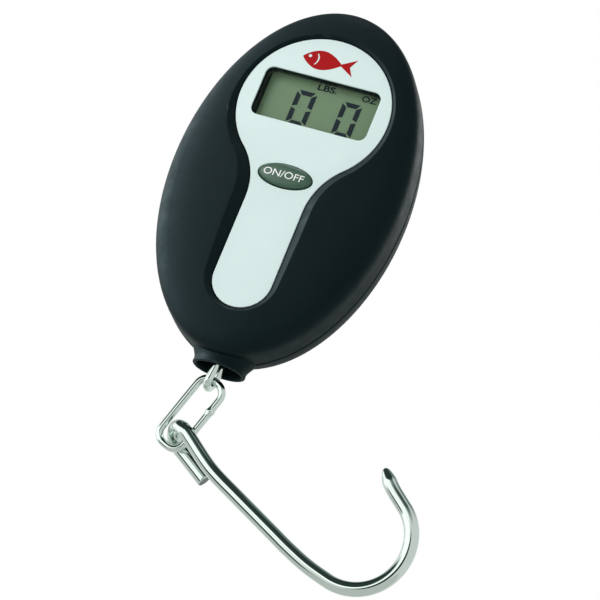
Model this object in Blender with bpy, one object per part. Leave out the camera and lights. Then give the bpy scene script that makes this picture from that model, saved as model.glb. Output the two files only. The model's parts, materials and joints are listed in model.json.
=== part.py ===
"""Digital fish scale: an egg-shaped two-shell case with a recessed spoon-shaped face plate, a display,
an oval on/off button, a load cell that carries an eye, a chain link and a J hook, and a coin cell
under a turn-to-open cap in the back.

Sizes below are in millimetres. x runs to the user's right, z up the case, y from front to back.
Parts are drawn about the case centre, whose parting plane is y = 0, and hang from the empty
case_centre, so the world origin is the middle of the flat pad on the case's back.
The chain is drawn in its own frame: across, down from the pivot, and back from the chain's plane.
"""

import math

import bmesh
import bpy
from mathutils import Matrix, Vector

MM = 0.001
GAP = 0.3            # clearance between fitted pieces
SPLIT = 0.15         # each shell's rim stands this far from the parting plane

# Case
CASE_HALF_WIDTH = 28.8
CASE_HALF_HEIGHT = 46.0
CASE_MID_Z = 1.0     # the ellipse's centre lies this far above the back pad's middle
FRONT_DEPTH = 11.3
FRONT_CROWN = 2.0    # how far the front face falls away from its middle to its edge
FRONT_SQUARE = 8.5   # a high power keeps the side walls upright and the shoulder tight
BACK_DEPTH = 12.0
BACK_ROUND = 2.3
BACK_FLAT = 0.62     # share of the back's half sizes that is the flat pad
WALL = 2.0
FRONT_INSIDE = 6.3
BACK_INSIDE = 10.2

# Face plate: a round head, a straight handle and fillets between them
HEAD_Z = 19.3
HEAD_R = 18.7
HANDLE_HALF = 7.25
HANDLE_END_Z = -27.0
NECK_FILLET = 17.2
PLATE_FACE = 9.0     # depth of the plate's face ahead of the parting plane
PLATE_THICK = 0.5
RECESS_SLOPE = 1.1   # sideways run of the recess wall for each millimetre it rises

# Window and button
WINDOW = (29.4, 13.2, 2.0, 20.75)       # width, height, corner radius, centre z
BUTTON = (6.6, 2.85, 0.5)               # half width, half height, centre z

# Mouth at the bottom of the case
MOUTH = (5.5, 4.3)
LIP_Z = -47.2

# Battery at the back
CELL_Z = 18.0
CELL_R = 10.0
CELL_THICK = 3.2
CAP_R = 11.6

# Screws
CASE_SCREWS = ((-20.3, 21.0), (20.3, 21.0), (-16.3, -28.0), (16.3, -28.0))
BOARD_SCREWS = ((-13.5, 2.5), (13.5, 2.5))

# Load cell and hanger
BEAM_Z = (-20.5, -11.5)
BEAM_X = (-22.0, 5.0)
BEAM_HALF_THICK = 3.0
BEAM_SCREWS = ((-18.8, -13.6), (-18.8, -18.4))
GAUGE_HOLES = (-12.2, -7.2)
HANGER_HALF_THICK = 0.8

# Chain
PIVOT_Z = -43.7
CHAIN_TILT = 12.0    # degrees that the chain leans back from the case's axis
EYE_WIRE = 0.95
EYE_R = 2.3
EYE_LENGTH = 7.9     # from the eye's upper centre to the centre of its lower wire
EYE_LEAN = 9.8
LINK_WIRE = 0.9
LINK_WIDTH = 6.8
LINK_LENGTH = 18.4
LINK_CORNER = 2.7
LINK_LEAN = 21.7
LINK_SHIFT = 0.7     # the eye bears this far to the left of the link's middle
HOOK_WIRE = 1.75
HOOK_EYE_TOP = (-5.58, -19.21)
HOOK_EYE_OFFSET = (4.2, 6.2)      # the return leg's offset from the shank: sideways and back
HOOK_EYE_DEPTH = 2.8
HOOK_HEADING = -38.5
# Each stretch of the hook after its eye is a length and the angle it turns through
HOOK_RUN = ((7.6, 0), (6.6, 11.4), (22.7, 0), (12.5, 12.7), (25.7, 119), (7.6, 39), (9.6, -19.6))
HOOK_RETURN = 10.5
HOOK_RETURN_OFFSET = 3.25         # the cut end's sideways offset from the shank
HOOK_POINT = 3.2
HOOK_FALL = 100.0    # the turn from rest until the hook hangs in line with the link

COLOURS = {
    "soft_black": ((0.022, 0.027, 0.029), 0.62, 0.0),
    "silver": ((0.70, 0.74, 0.73), 0.38, 0.35),
    "clear": ((0.85, 0.90, 0.88), 0.05, 0.0),
    "lcd": ((0.25, 0.27, 0.19), 0.30, 0.0),
    "black_plastic": ((0.03, 0.03, 0.03), 0.5, 0.0),
    "rubber": ((0.02, 0.02, 0.02), 0.8, 0.0),
    "button_green": ((0.16, 0.21, 0.18), 0.5, 0.0),
    "board_green": ((0.02, 0.13, 0.06), 0.45, 0.0),
    "epoxy": ((0.015, 0.015, 0.016), 0.35, 0.0),
    "steel": ((0.55, 0.56, 0.57), 0.3, 1.0),
    "chrome": ((0.78, 0.79, 0.79), 0.08, 1.0),
    "aluminium": ((0.70, 0.71, 0.72), 0.35, 1.0),
    "gauge_amber": ((0.55, 0.28, 0.06), 0.4, 0.0),
    "wire_red": ((0.5, 0.02, 0.02), 0.45, 0.0),
    "wire_black": ((0.02, 0.02, 0.02), 0.45, 0.0),
}


def clear_scene():
    for obj in list(bpy.data.objects):
        bpy.data.objects.remove(obj, do_unlink=True)


def material(name):
    found = bpy.data.materials.get(name)
    if found:
        return found
    colour, roughness, metallic = COLOURS[name]
    made = bpy.data.materials.new(name)
    made.use_nodes = True
    shader = made.node_tree.nodes["Principled BSDF"]
    shader.inputs["Base Color"].default_value = (*colour, 1.0)
    shader.inputs["Roughness"].default_value = roughness
    shader.inputs["Metallic"].default_value = metallic
    return made


# ---- Mesh helpers: points come in millimetres ----

def add_object(name, mesh, finish, smooth=True):
    obj = bpy.data.objects.new(name, mesh)
    bpy.context.scene.collection.objects.link(obj)
    obj.parent = CASE
    obj.data.materials.append(material(finish))
    if smooth:
        mesh.shade_smooth()
        mesh.set_sharp_from_angle(angle=math.radians(35))
    return obj


def mesh_of(name, rings, closed=False):
    """A skin over rings of equal length: capped at both ends, or closed round on itself."""
    bm = bmesh.new()
    rows = [[bm.verts.new(Vector(p) * MM) for p in ring] for ring in rings]
    count = len(rows[0])
    pairs = list(zip(rows, rows[1:]))
    if closed:
        pairs.append((rows[-1], rows[0]))
    for low, high in pairs:
        for i in range(count):
            j = (i + 1) % count
            bm.faces.new((low[i], low[j], high[j], high[i]))
    if not closed:
        bm.faces.new(rows[0][::-1])
        bm.faces.new(rows[-1])
    bmesh.ops.recalc_face_normals(bm, faces=bm.faces)
    mesh = bpy.data.meshes.new(name)
    bm.to_mesh(mesh)
    bm.free()
    return mesh


def skin(name, rings, finish, closed=False):
    return add_object(name, mesh_of(name, rings, closed), finish)


def rounded_box(width, height, corner, steps=4, centre=(0.0, 0.0)):
    """An outline in x and z with round corners."""
    points = []
    for quarter, (sx, sz) in enumerate(((1, 1), (-1, 1), (-1, -1), (1, -1))):
        cx = centre[0] + sx * (width / 2 - corner)
        cz = centre[1] + sz * (height / 2 - corner)
        for i in range(steps + 1):
            angle = math.radians(90 * (quarter + i / steps))
            points.append((cx + corner * math.cos(angle), cz + corner * math.sin(angle)))
    return points


def oval(half_width, half_height, centre=(0.0, 0.0), steps=32):
    turns = [math.tau * i / steps for i in range(steps)]
    return [(centre[0] + half_width * math.cos(t), centre[1] + half_height * math.sin(t))
            for t in turns]


def at_depth(outline, y):
    return [(x, y, z) for x, z in outline]


def slab(name, outline, y0, y1, finish):
    """An outline in x and z given a thickness from y0 to y1."""
    return skin(name, [at_depth(outline, y0), at_depth(outline, y1)], finish)


def block(name, x, y, z, finish):
    outline = [(x[0], z[0]), (x[1], z[0]), (x[1], z[1]), (x[0], z[1])]
    return slab(name, outline, y[0], y[1], finish)


def turned(name, centre, profile, finish, steps=32):
    """A round piece about an axis along y through centre: profile lists radius and y."""
    rings = [at_depth(oval(r, r, centre, steps), y) for r, y in profile]
    return skin(name, rings, finish)


def tube(name, path, radius, finish, sides=12, closed=False):
    """A wire of one radius, or of one radius for each point, along a path."""
    points = [Vector(p) for p in path]
    count = len(points)
    radii = radius if isinstance(radius, list) else [radius] * count
    normal = None
    rings = []
    for i, point in enumerate(points):
        ahead = points[(i + 1) % count] if closed or i + 1 < count else point
        behind = points[i - 1] if closed or i else point
        along = (ahead - behind).normalized()
        if normal is None:
            normal = along.orthogonal()
        normal = (normal - along * normal.dot(along)).normalized()
        side = along.cross(normal)
        turns = [math.tau * k / sides for k in range(sides)]
        rings.append([point + radii[i] * (math.cos(t) * normal + math.sin(t) * side) for t in turns])
    return skin(name, rings, finish, closed)


def boolean(obj, tools, operation):
    for tool in tools:
        step = obj.modifiers.new(tool.name, "BOOLEAN")
        step.operation = operation
        step.solver = "EXACT"
        step.object = tool
        tool.hide_render = True
        tool.display_type = "WIRE"
    return obj


def cut(obj, *tools):
    return boolean(obj, tools, "DIFFERENCE")


def join(obj, *tools):
    return boolean(obj, tools, "UNION")


def pivot_at(obj, point):
    """Moves an object's origin to a point on its joint's axis and leaves its shape in place."""
    place = Vector(point) * MM
    obj.data.transform(Matrix.Translation(-place))
    obj.location = place
    return obj


# ---- Case shells ----

def plate_outline(spread=0.0):
    """The face plate's edge, moved out by spread, as points in x and z, from the handle's end."""
    handle = HANDLE_HALF + spread
    head = HEAD_R + spread
    fillet = NECK_FILLET - spread
    fillet_x = HANDLE_HALF + NECK_FILLET
    neck_z = HEAD_Z - math.sqrt((HEAD_R + NECK_FILLET) ** 2 - fillet_x ** 2)
    meet = math.atan2(HEAD_Z - neck_z, fillet_x)
    right = []
    for i in range(7):
        angle = math.radians(-90 + 90 * i / 6)
        right.append((handle * math.cos(angle), HANDLE_END_Z + handle * math.sin(angle)))
    for i in range(1, 4):
        right.append((handle, HANDLE_END_Z + (neck_z - HANDLE_END_Z) * i / 4))
    for i in range(7):
        angle = math.pi - meet * i / 6
        right.append((fillet_x + fillet * math.cos(angle), neck_z + fillet * math.sin(angle)))
    for i in range(1, 19):
        angle = -meet + (math.pi / 2 + meet) * i / 18
        right.append((head * math.cos(angle), HEAD_Z + head * math.sin(angle)))
    left = [(-x, z) for x, z in reversed(right[1:-1])]
    return right + left


def share_out(x, z):
    """How far out a point lies: 0 at the case's centre, 1 on its edge."""
    return math.hypot(x / CASE_HALF_WIDTH, (z - CASE_MID_Z) / CASE_HALF_HEIGHT)


def front_depth(share):
    """How far the crowned front stands ahead of the parting plane."""
    upright = max(0.0, 1 - share ** FRONT_SQUARE) ** (1 / FRONT_SQUARE)
    return (FRONT_DEPTH - FRONT_CROWN * share ** 2) * upright


def front_share(depth):
    """Where the front has come down to a depth, found by halving."""
    low, high = 0.0, 1.0
    for _ in range(40):
        middle = (low + high) / 2
        if front_depth(middle) > depth:
            low = middle
        else:
            high = middle
    return low


def back_share(depth, full):
    """Where the rounded part of a back dome has come down to a depth."""
    return BACK_FLAT + (1 - BACK_FLAT) * math.sqrt(1 - (depth / full) ** BACK_ROUND)


def spread_to(outline, share, inset=0.0):
    """Each point of an outline moved along its ray from the centre onto a case ellipse."""
    moved = []
    for x, z in outline:
        up = z - CASE_MID_Z
        ray = math.hypot(x / (CASE_HALF_WIDTH - inset), up / (CASE_HALF_HEIGHT - inset))
        moved.append((x * share / ray, CASE_MID_Z + up * share / ray))
    return moved


def recess_top(steps=12):
    """Where the recess wall runs out on the dome, as points in x, y and z."""
    reach = [1.0] * len(plate_outline())
    for _ in range(steps):
        for i in range(len(reach)):
            x, z = plate_outline(reach[i])[i]
            rise = front_depth(share_out(x, z)) - PLATE_FACE
            reach[i] = GAP + RECESS_SLOPE * max(rise, 0.1)
    edge = [plate_outline(r)[i] for i, r in enumerate(reach)]
    return [(x, -front_depth(share_out(x, z)), z) for x, z in edge]


def between(first, second, share):
    return [(a[0] + (b[0] - a[0]) * share, a[1] + (b[1] - a[1]) * share)
            for a, b in zip(first, second)]


def front_rings():
    """Rings from the plate's seat, out over the dome, round the rim and in to the inner ceiling."""
    outline = plate_outline()
    seat = PLATE_FACE - PLATE_THICK - GAP
    top = recess_top()
    crest = [(x, z) for x, _, z in top]
    shoulder = spread_to(outline, front_share(PLATE_FACE + 0.2))
    rings = [at_depth(plate_outline(GAP), -seat), at_depth(plate_outline(GAP), -PLATE_FACE), top]
    for share in (0.35, 0.7, 1.0):
        ring = between(crest, shoulder, share)
        rings.append([(x, -front_depth(share_out(x, z)), z) for x, z in ring])
    for depth in (8.8, 8.2, 7.3, 6.0, 4.0, SPLIT):
        rings.append(at_depth(spread_to(outline, front_share(depth)), -depth))
    for depth in (SPLIT, 4.2, 5.7, FRONT_INSIDE):
        share = (1 - (depth / (FRONT_INSIDE + 0.05)) ** 6) ** (1 / 16)
        rings.append(at_depth(spread_to(outline, share, WALL), -depth))
    return rings


def collar(name, side):
    """One half of the flared collar round the mouth; side is -1 at the front and 1 at the back."""
    rings = []
    for z, rx, ry in ((-41.0, 8.6, 6.6), (-43.8, 7.8, 6.0), (-45.4, 6.8, 5.4), (LIP_Z + 0.4, 6.5, 5.2),
                      (LIP_Z, 6.3, 5.0)):
        arc = [math.pi * i / 14 for i in range(15)]
        rings.append([(rx * math.cos(t), side * (SPLIT + (ry - SPLIT) * math.sin(t)), z) for t in arc])
    return skin(name, rings, "soft_black")


def mouth_bore(name):
    rings = [[(x, y, z) for x, y in oval(*MOUTH, steps=28)] for z in (LIP_Z - 2, -40.5)]
    return skin(name, rings, "soft_black")


def post(name, centre, radius, y0, y1):
    return turned(name, centre, ((radius, y0), (radius, y1)), "soft_black", 14)


def make_front_shell():
    shell = skin("front_shell", front_rings(), "soft_black")
    join(shell, collar("front_collar", -1))
    for i, place in enumerate(CASE_SCREWS):
        join(shell, post(f"case_post_{i}", place, 2.3, -FRONT_INSIDE - 0.6, -GAP))
        cut(shell, post(f"case_post_hole_{i}", place, 1.15, -4.6, 1))
    for i, place in enumerate(BOARD_SCREWS):
        join(shell, post(f"board_post_{i}", place, 1.9, -FRONT_INSIDE - 0.6, -2.1))
        cut(shell, post(f"board_post_hole_{i}", place, 0.95, -5.0, 1))
    width, height, corner, z = WINDOW
    cut(shell, slab("window_cut", rounded_box(width, height, corner, centre=(0, z)), -12, -5, "soft_black"))
    half_width, half_height, z = BUTTON
    cut(shell, slab("button_cut", oval(half_width + GAP, half_height + GAP, (0, z)), -12, -5, "soft_black"))
    cut(shell, mouth_bore("front_mouth_bore"))
    return shell


def back_rings():
    """Rings from the pad's edge, out to the rim and in to the inner floor."""
    outline = oval(1, 1, (0, CASE_MID_Z), 60)
    rings = []
    for depth in (BACK_DEPTH, 11.6, 10.5, 8.6, 5.8, 2.8, SPLIT):
        rings.append(at_depth(spread_to(outline, back_share(depth, BACK_DEPTH)), depth))
    for depth in (SPLIT, 4.0, 7.2, 9.4, BACK_INSIDE):
        rings.append(at_depth(spread_to(outline, back_share(depth, BACK_INSIDE), WALL), depth))
    return rings


def seal_cord(name, inset, radius, half_gap, finish):
    """A cord that follows the parting line from one side of the mouth round to the other."""
    path = []
    for i in range(49):
        angle = math.radians(-90 + half_gap + (360 - 2 * half_gap) * i / 48)
        path.append(((CASE_HALF_WIDTH - inset) * math.cos(angle), 0.62,
                     CASE_MID_Z + (CASE_HALF_HEIGHT - inset) * math.sin(angle)))
    return tube(name, path, radius, finish, sides=6)


def battery_well():
    """The cup that holds the cell, and what is cut from it and from the back."""
    centre = (0, CELL_Z)
    cup = turned("well_cup", centre, ((12.9, 4.3), (12.9, BACK_INSIDE + 0.8)), "soft_black", 48)
    mouth = turned("cap_opening", centre, ((CAP_R + GAP + 0.1, 8.9), (CAP_R + GAP + 0.1, 14)), "soft_black", 48)
    bore = turned("cell_bore", centre, ((CELL_R + 0.6, 5.5), (CELL_R + 0.6, 9.5)), "soft_black", 48)
    slot_side = block("positive_slot", (9.7, 10.9), (3, 6), (CELL_Z - 1.9, CELL_Z + 1.9), "soft_black")
    slot_low = block("negative_slot", (-2, 2), (3, 6), (8.6, 9.6), "soft_black")
    return cup, (mouth, bore, slot_side, slot_low)


def make_rear_shell():
    shell = skin("rear_shell", back_rings(), "soft_black")
    join(shell, collar("rear_collar", 1))
    cup, cuts = battery_well()
    join(shell, cup)
    cut(shell, *cuts)
    for i, place in enumerate(CASE_SCREWS):
        join(shell, post(f"rear_post_{i}", place, 3.1, GAP, 6.6))
        cut(shell, post(f"rear_post_hole_{i}", place, 1.4, -1, 13))
        cut(shell, post(f"screw_counterbore_{i}", place, 2.5, 4.8, 14))
    for i, place in enumerate(BEAM_SCREWS):
        join(shell, post(f"beam_post_{i}", place, 2.55, BEAM_HALF_THICK + GAP, 9.3))
    for i, place in enumerate(BEAM_SCREWS):
        cut(shell, post(f"beam_post_hole_{i}", place, 1.15, 1, 8.2))
    cut(shell, seal_cord("seal_groove", 1.0, 0.62, 12.0, "soft_black"))
    cut(shell, mouth_bore("rear_mouth_bore"))
    return shell


# ---- Face ----

def make_face_plate():
    back = PLATE_FACE - PLATE_THICK
    plate = slab("face_plate", plate_outline(), -PLATE_FACE, -back, "silver")
    width, height, corner, z = WINDOW
    cut(plate, slab("plate_window", rounded_box(width, height, corner, centre=(0, z)), -12, -5, "silver"))
    half_width, half_height, z = BUTTON
    cut(plate, slab("plate_button_hole", oval(half_width + GAP, half_height + GAP, (0, z)), -12, -5, "silver"))


def make_display():
    width, height, corner, z = WINDOW
    lens = rounded_box(width - 0.6, height - 0.6, corner - 0.3, centre=(0, z))
    slab("display_window", lens, -7.6, -6.8, "clear")
    slab("lcd_glass", rounded_box(32, 16.6, 0.4, 1, (0, z)), -5.8, -4.1, "lcd")
    frame = slab("lcd_frame", rounded_box(34.6, 19.4, 1.6, 3, (0, z)), -5.85, -2.3, "black_plastic")
    cut(frame, slab("lcd_frame_hole", rounded_box(32.6, 17.2, 0.5, 1, (0, z)), -7, -1, "black_plastic"))
    for side, name in ((1, "zebra_strip_upper"), (-1, "zebra_strip_lower")):
        middle = z + side * 6.9
        block(name, (-15, 15), (-3.8, -2.1), (middle - 0.8, middle + 0.8), "rubber")


def make_button():
    """A domed oval key with a flange that keeps it behind the plate."""
    half_width, half_height, z = BUTTON
    centre = (0, z)
    rings = [at_depth(oval(half_width + 1.1, half_height + 1.1, centre), y) for y in (-5.5, -6.0)]
    for inset, y in ((0.0, -6.0), (0.0, -9.2), (0.35, -9.65), (1.5, -9.95)):
        rings.append(at_depth(oval(half_width - inset, half_height - inset * 0.8, centre), y))
    key = skin("on_off_button", rings, "button_green")
    pivot_at(key, (0, -8.0, z))
    plunger = turned("switch_plunger", centre, ((1.4, -5.2), (1.4, -3.9)), "black_plastic", 16)
    pivot_at(plunger, (0, -4.6, z))
    switch = block("tact_switch", (-3, 3), (-4.3, -2.1), (z - 3, z + 3), "black_plastic")
    cut(switch, post("switch_bore", centre, 1.7, -6, -2.8))


# ---- Electronics ----

def make_board():
    board = slab("circuit_board", rounded_box(34, 38.5, 6, 5, (0, 13.75)), -1.8, -0.6, "board_green")
    for i, place in enumerate(BOARD_SCREWS):
        cut(board, post(f"board_hole_{i}", place, 1.2, -3, 1))
    turned("controller_chip", (4.5, 20.5), ((4.2, -0.3), (4.0, 0.3), (2.6, 0.9)), "epoxy", 24)


def screw(name, place, head_y, tip_y, radius, head_radius, head_thick):
    """A pan-head screw along y whose head bears at head_y and whose point is at tip_y."""
    away = math.copysign(1, head_y - tip_y)
    profile = ((head_radius * 0.72, head_y + away * head_thick), (head_radius, head_y + away * head_thick * 0.55),
               (head_radius, head_y), (radius, head_y), (radius, tip_y + away * 0.8), (radius * 0.35, tip_y))
    body = turned(name, place, profile, "steel", 12)
    x, z = place
    y = sorted((head_y + away * (head_thick - 0.6), head_y + away * (head_thick + 1)))
    for i, (wide, tall) in enumerate(((1.1, 0.3), (0.3, 1.1))):
        cut(body, block(f"{name}_cross_{i}", (x - wide, x + wide), y, (z - tall, z + tall), "steel"))


def make_screws():
    for i, place in enumerate(CASE_SCREWS):
        screw(f"case_screw_{i + 1}", place, 5.1, -4.2, 0.85, 2.1, 1.3)
    for i, place in enumerate(BOARD_SCREWS):
        screw(f"board_screw_{i + 1}", place, -0.3, -4.7, 0.65, 1.8, 1.0)
    for i, place in enumerate(BEAM_SCREWS):
        screw(f"load_cell_screw_{i + 1}", place, -BEAM_HALF_THICK - GAP, 7.9, 0.85, 2.0, 1.2)


def make_battery():
    centre = (0, CELL_Z)
    top = 5.9 + CELL_THICK
    turned("coin_cell", centre, ((CELL_R - 1.6, 5.9), (CELL_R - 1.3, 6.3), (CELL_R - 0.3, 6.35), (CELL_R, 6.7),
                                 (CELL_R, top - 0.3), (CELL_R - 0.3, top)), "steel", 40)
    leaf = [(-1.5, 3.6, 9.2), (-1.5, 5.8, 9.2), (-1.5, 5.8, 24), (-1.5, 5.62, 24), (-1.5, 5.62, 9.38), (-1.5, 3.6, 9.38)]
    skin("contact_negative", [leaf, [(1.5, y, z) for _, y, z in leaf]], "steel")
    block("contact_positive", (10.15, 10.35), (3.6, 8.7), (CELL_Z - 1.5, CELL_Z + 1.5), "steel")
    tube("battery_wire_red", [(10.2, 3.2, CELL_Z), (10.2, 2.2, CELL_Z), (10.8, 1.2, 15), (12.0, 0.6, 11),
                              (12.2, 0.2, 9.4), (12.2, -0.2, 9.2)], 0.45, "wire_red", 8)
    tube("battery_wire_black", [(0, 3.2, 9.3), (0, 2.4, 9.2), (1.2, 1.4, 8.4), (5, 0.8, 7.6), (8.4, 0.5, 7.2),
                                (9.4, 0.2, 7.0), (9.5, -0.2, 7.0)], 0.45, "wire_black", 8)


def make_battery_cap():
    """A round cap flush with the back, with a coin slot, and its O-ring."""
    centre = (0, CELL_Z)
    profile = ((CELL_R - 0.4, 9.4), (CELL_R - 0.4, 9.95), (CAP_R, 9.95), (CAP_R, 11.6), (CAP_R - 0.3, 11.9))
    cap = turned("battery_cap", centre, profile, "black_plastic", 48)
    cut(cap, slab("coin_slot", rounded_box(14, 2.6, 1.25, centre=centre), 10.9, 13, "black_plastic"))
    pivot_at(cap, (0, 11, CELL_Z))
    ring = [(x, 9.42, z) for x, z in oval(11.25, 11.25, centre, 40)]
    seal = tube("battery_cap_seal", ring, 0.4, "rubber", 6, closed=True)
    pivot_at(seal, (0, 9.42, CELL_Z))


# ---- Load path ----

def make_load_cell():
    """A bending beam: screwed down at its left end, thinned over two round holes, forked at its right end."""
    middle = sum(BEAM_Z) / 2
    beam = block("load_cell", BEAM_X, (-BEAM_HALF_THICK, BEAM_HALF_THICK), BEAM_Z, "aluminium")
    for i, x in enumerate(GAUGE_HOLES):
        cut(beam, turned(f"gauge_hole_{i}", (x, middle), ((3.6, -5), (3.6, 5)), "aluminium", 20))
    cut(beam, block("gauge_slot", GAUGE_HOLES, (-5, 5), (middle - 1.2, middle + 1.2), "aluminium"))
    for i, place in enumerate(BEAM_SCREWS):
        cut(beam, post(f"beam_hole_{i}", place, 1.2, -5, 5))
    cut(beam, block("fork_slot", (-2.9, 8), (-1.2, 1.2), (-25, -5), "aluminium"))
    cut(beam, post("fork_hole", (1.6, middle), 1.6, -5, 5))
    for name, z0, z1 in (("strain_gauge_upper", BEAM_Z[1] + 0.1, BEAM_Z[1] + 0.45),
                         ("strain_gauge_lower", BEAM_Z[0] - 0.45, BEAM_Z[0] - 0.1)):
        x = GAUGE_HOLES[0 if z0 > middle else 1]
        block(name, (x - 2.6, x + 2.6), (-1.8, 1.8), (z0, z1), "gauge_amber")
    tube("gauge_cable", [(-9.3, 0, -10.7), (-8.6, 0, -10.2), (-8.0, 0.3, -8.8), (-7.6, 0.8, -6.6),
                         (-7.4, 1.0, -4.6), (-7.2, 0.6, -3.2), (-7.2, -0.2, -2.8)], 0.5, "wire_black", 8)


def make_hanger():
    """A flat steel tongue from the beam's fork to the mouth, with its screw."""
    middle = sum(BEAM_Z) / 2
    outline = [(-2.4, -12.4), (-2.4, -20.6), (-2.4, -42.8), (-1.6, -43.9), (1.6, -43.9), (2.4, -42.8),
               (2.4, -20.9), (4.4, -19.6), (4.4, -12.4)]
    thick = HANGER_HALF_THICK
    hanger = slab("load_hanger", outline, -thick, thick, "steel")
    eye_hole = (0, PIVOT_Z + EYE_R)
    cut(hanger, post("hanger_eye_hole", eye_hole, 1.5, -3, 3), post("hanger_screw_hole", (1.6, middle), 1.3, -3, 3))
    screw("hanger_screw", (1.6, middle), -BEAM_HALF_THICK - GAP, BEAM_HALF_THICK + 0.6, 1.0, 2.2, 1.3)
    for name in ("load_hanger", "hanger_screw"):
        pivot_at(bpy.data.objects[name], (1.6, 0, middle))


def chain_point(across, down, back=0.0):
    """A point of the chain's own frame, in the case's frame; down is negative below the pivot."""
    tilt = math.radians(CHAIN_TILT)
    return (across, back * math.cos(tilt) - down * math.sin(tilt),
            PIVOT_Z + down * math.cos(tilt) + back * math.sin(tilt))


def oblong(half_width, length, corner, steps):
    """A closed path in two coordinates: an oblong from 0 down to -length, with round corners."""
    points = []
    for quarter, (side, end) in enumerate(((1, 0), (-1, 0), (-1, 1), (1, 1))):
        middle = -corner if end == 0 else corner - length
        for i in range(steps + 1):
            angle = math.radians(90 * (quarter + i / steps))
            points.append((side * (half_width - corner) + corner * math.cos(angle),
                           middle + corner * math.sin(angle)))
    return points


def make_eye():
    lean = math.radians(EYE_LEAN)
    path = []
    for back, along in oblong(EYE_R, EYE_LENGTH + EYE_R, EYE_R - 0.05, 6):
        drop = along + EYE_R
        path.append(chain_point(drop * math.sin(lean), drop * math.cos(lean), back))
    eye = tube("load_eye", path, EYE_WIRE, "chrome", 10, closed=True)
    pivot_at(eye, (0, 0, PIVOT_Z))


def eye_bottom():
    lean = math.radians(EYE_LEAN)
    return (-EYE_LENGTH * math.sin(lean), -EYE_LENGTH * math.cos(lean))


def link_axis():
    """The centre of the link's upper wire, and its lengthwise direction."""
    lean = math.radians(LINK_LEAN)
    along = (-math.sin(lean), -math.cos(lean))
    start = eye_bottom()
    rise = EYE_WIRE + LINK_WIRE + 0.25
    return (start[0] - along[0] * rise - along[1] * LINK_SHIFT,
            start[1] - along[1] * rise + along[0] * LINK_SHIFT), along


def make_link():
    top, along = link_axis()
    path = []
    for side, drop in oblong(LINK_WIDTH / 2, LINK_LENGTH, LINK_CORNER, 5):
        path.append(chain_point(top[0] - along[0] * drop - along[1] * side,
                                top[1] - along[1] * drop + along[0] * side))
    link = tube("chain_link", path, LINK_WIRE, "chrome", 10, closed=True)
    pivot_at(link, chain_point(*eye_bottom()))


def hook_frame():
    """The shank's direction and the sideways direction of the return leg, at the eye."""
    heading = math.radians(HOOK_HEADING)
    return (math.cos(heading), math.sin(heading)), (math.sin(heading), -math.cos(heading))


def hook_path():
    """Points along the hook: the cut end, the eye, the shank, the bend and the point."""
    along, aside = hook_frame()
    across, back = HOOK_EYE_OFFSET
    start = (HOOK_EYE_TOP[0] + along[0] * HOOK_EYE_DEPTH - aside[0] * across / 2,
             HOOK_EYE_TOP[1] + along[1] * HOOK_EYE_DEPTH - aside[1] * across / 2)
    path = []
    for i in range(5):
        share = 1 - i / 5
        reach = HOOK_RETURN * share
        out = across + (HOOK_RETURN_OFFSET - across) * share
        path.append((start[0] + aside[0] * out + along[0] * reach,
                     start[1] + aside[1] * out + along[1] * reach, back / 2))
    for i in range(13):
        turn = math.pi * i / 12
        out = -HOOK_EYE_DEPTH * math.sin(turn)
        share = (1 + math.cos(turn)) / 2
        path.append((start[0] + along[0] * out + aside[0] * across * share,
                     start[1] + along[1] * out + aside[1] * across * share, back * (share - 0.5)))
    x, z = start
    heading = math.radians(HOOK_HEADING)
    for length, turn in HOOK_RUN:
        steps = max(2, round(abs(turn) / 8), round(length / 5))
        for i in range(steps):
            middle = heading + math.radians(turn) * (i + 0.5) / steps
            x += math.cos(middle) * length / steps
            z += math.sin(middle) * length / steps
            path.append((x, z, -back / 2))
        heading += math.radians(turn)
    return path


def hook_pivot():
    """The axis about which the hook falls from its place beside the link until it hangs in the link's end."""
    top, along = link_axis()
    seat_drop = LINK_LENGTH - LINK_WIRE - HOOK_WIRE - 0.7
    seat = Vector((top[0] + along[0] * seat_drop, top[1] + along[1] * seat_drop))
    start = Vector(HOOK_EYE_TOP)
    half = (seat - start) / 2
    return start + half + Vector((half.y, -half.x)) / math.tan(math.radians(HOOK_FALL / 2))


def make_hook():
    path = [chain_point(*p) for p in hook_path()]
    left = [0.0]
    for a, b in zip(path[::-1], path[-2::-1]):
        left.append(left[-1] + math.dist(a, b))
    radii = [HOOK_WIRE * min(1.0, 0.12 + 0.88 * math.sqrt(gone / HOOK_POINT)) for gone in left][::-1]
    hook = tube("hook", path, radii, "chrome", 12)
    pivot_at(hook, chain_point(*hook_pivot()))


clear_scene()
CASE = bpy.data.objects.new("case_centre", None)
CASE.location = (0, -BACK_DEPTH * MM, 0)
bpy.context.scene.collection.objects.link(CASE)

make_front_shell()
make_rear_shell()
seal_cord("case_seal", 1.0, 0.35, 13.0, "rubber")
make_face_plate()
make_display()
make_button()
make_board()
make_screws()
make_battery()
make_battery_cap()
make_load_cell()
make_hanger()
make_eye()
make_link()
make_hook()
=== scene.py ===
"""Looks of the digital fish scale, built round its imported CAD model.

The case, its plate, button, cap, screws and wire parts get finer meshes of the same shapes. Printing, the
display's border and the gasket in the parting line are added, and the parts inside keep their CAD meshes.
Sizes are in millimetres about the case's centre: x to the user's right, z up the case, y from front
to back with the parting line at 0. The chain has its own frame: across, down from the pivot, and back.
"""

import json
import math

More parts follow.
